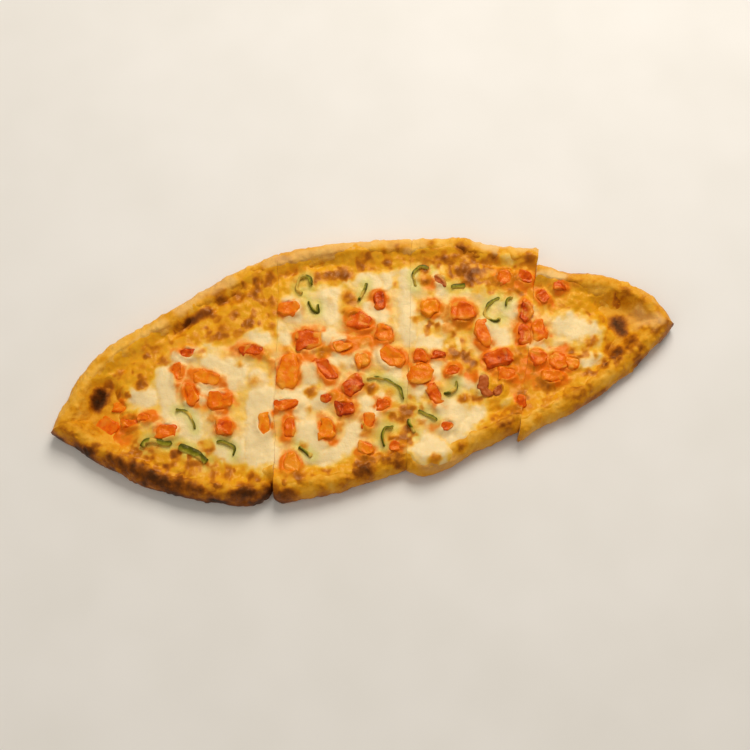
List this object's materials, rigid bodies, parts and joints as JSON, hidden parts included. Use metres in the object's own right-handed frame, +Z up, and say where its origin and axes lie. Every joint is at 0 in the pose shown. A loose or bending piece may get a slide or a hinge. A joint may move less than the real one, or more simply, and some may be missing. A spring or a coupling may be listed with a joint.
{
  "type": "turkish pide",
  "caption": "Boat-shaped flatbread with a folded rim and pinched tips, filled with melted cheese, diced tomato and green pepper, and cut across into slices that lie together.",
  "frame": {"origin": "under the middle of the whole pide's box, on the surface that it lies on", "axes": "+X from the left pinched tip to the right one, +Z up, -Y towards the viewer"},
  "size_m": [0.361, 0.1486, 0.0159],
  "materials": {
    "crust": "baked wheat crust, golden with browned bubbles, matt with a faint oily sheen",
    "cheese": "melted white cheese, cream with orange and brown spots, softly shining",
    "tomato": "baked diced tomato, wet and orange-red",
    "sausage": "baked sausage bits, brown-red, slightly oily",
    "pepper": "baked green pepper strips, olive green, wet"
  },
  "bodies": {
    "root": {"dough_1": "crust", "dough_2": "crust", "dough_3": "crust", "dough_4": "crust", "cheese_1": "cheese", "cheese_2": "cheese", "cheese_3": "cheese", "cheese_4": "cheese", "tomato_01": "tomato", "tomato_02": "tomato", "tomato_03": "tomato", "tomato_04": "tomato", "tomato_05": "tomato", "tomato_06": "tomato", "tomato_07": "tomato", "tomato_08": "tomato", "tomato_09": "tomato", "tomato_10": "tomato", "tomato_11": "tomato", "tomato_12": "tomato", "tomato_13": "tomato", "tomato_14": "tomato", "tomato_15": "tomato", "tomato_16": "tomato", "tomato_17": "tomato", "tomato_18": "tomato", "tomato_19": "tomato", "tomato_20": "tomato", "tomato_21": "tomato", "tomato_22": "tomato", "tomato_23": "tomato", "tomato_24": "tomato", "tomato_25": "tomato", "tomato_26": "tomato", "tomato_27": "tomato", "tomato_28": "tomato", "tomato_29": "tomato", "tomato_30": "tomato", "tomato_31": "tomato", "tomato_32": "tomato", "tomato_33": "tomato", "tomato_34": "tomato", "tomato_35": "tomato", "tomato_36": "tomato", "tomato_37": "tomato", "sausage_01": "sausage", "sausage_02": "sausage", "sausage_03": "sausage", "pepper_01": "pepper", "pepper_02": "pepper", "pepper_03": "pepper", "pepper_04": "pepper", "pepper_05": "pepper", "pepper_06": "pepper", "pepper_07": "pepper", "pepper_08": "pepper", "pepper_09": "pepper", "pepper_10": "pepper", "pepper_11": "pepper", "pepper_12": "pepper"}
  },
  "joints": []
}
